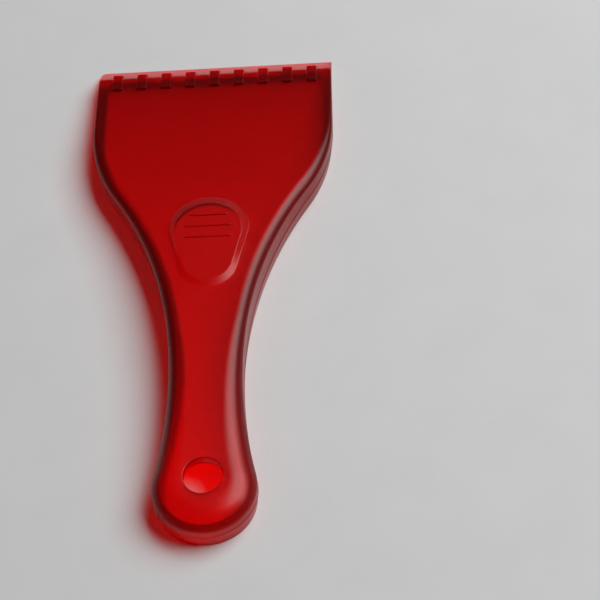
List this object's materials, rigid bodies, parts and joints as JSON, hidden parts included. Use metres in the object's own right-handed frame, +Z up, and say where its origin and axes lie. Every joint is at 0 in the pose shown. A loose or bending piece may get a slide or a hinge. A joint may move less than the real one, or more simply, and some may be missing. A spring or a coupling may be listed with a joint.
{
  "type": "windshield ice scraper",
  "caption": "Hand-held ice scraper in clear red plastic: wide bevelled blade with ice-breaking teeth, ribbed thumb rest, hollow waisted handle with a hanging hole.",
  "frame": {"origin": "middle of the length and width, on the plane that the rim rests on", "axes": "+Y from the handle to the blade's edge, +Z up through the thumb rest, +X to the right"},
  "size_m": [0.1, 0.2418, 0.02],
  "materials": {
    "red_plastic": "satin translucent red, injection moulded, faint scuffs"
  },
  "bodies": {
    "root": {"blade": "red_plastic", "ice_teeth": "red_plastic", "head_plate": "red_plastic", "head_wall_left": "red_plastic", "head_wall_right": "red_plastic", "thumb_rest": "red_plastic", "thumb_ribs": "red_plastic", "handle_plate": "red_plastic", "handle_wall_left": "red_plastic", "handle_wall_right": "red_plastic", "eye_plate": "red_plastic", "eye_ring": "red_plastic", "end_wall": "red_plastic", "gate_mark": "red_plastic"}
  },
  "joints": []
}
